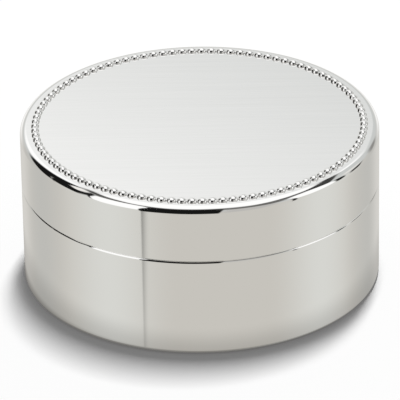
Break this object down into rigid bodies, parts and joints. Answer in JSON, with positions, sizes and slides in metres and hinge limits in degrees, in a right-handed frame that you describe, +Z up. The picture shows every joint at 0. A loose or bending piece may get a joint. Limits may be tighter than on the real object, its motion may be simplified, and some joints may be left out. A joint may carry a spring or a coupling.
{
  "type": "keepsake box",
  "caption": "Round silver-plated keepsake box with a beaded border on its lift-off lid, a guide collar inside the rim and a padded velvet lining.",
  "frame": {"origin": "middle of the lower face of the felt under the base, where the box stands", "axes": "+Z up along the box's axis, towards the lid; the box is round, so +X and +Y are alike; the picture looks along +Y and down"},
  "size_m": [0.108, 0.108, 0.0501],
  "materials": {
    "silver_plate": "polished silver plate on brass",
    "velvet": "short-pile velvet",
    "lining_card": "plain grey-brown lining card",
    "pad_foam": "soft open-cell foam",
    "felt": "pressed felt"
  },
  "bodies": {
    "base": {"base_shell": "silver_plate", "guide_collar": "silver_plate", "wall_card": "lining_card", "wall_velvet": "velvet", "floor_card": "lining_card", "floor_foam": "pad_foam", "floor_velvet": "velvet", "underside_felt": "felt"},
    "lid": {"lid_shell": "silver_plate", "bead_border": "silver_plate", "lid_card": "lining_card", "lid_foam": "pad_foam", "lid_velvet": "velvet"}
  },
  "joints": [
    {"name": "lid_lift", "type": "slide", "parent": "base", "child": "lid", "axis": [0, 0, 1], "range_m": [0, 0.06]}
  ]
}
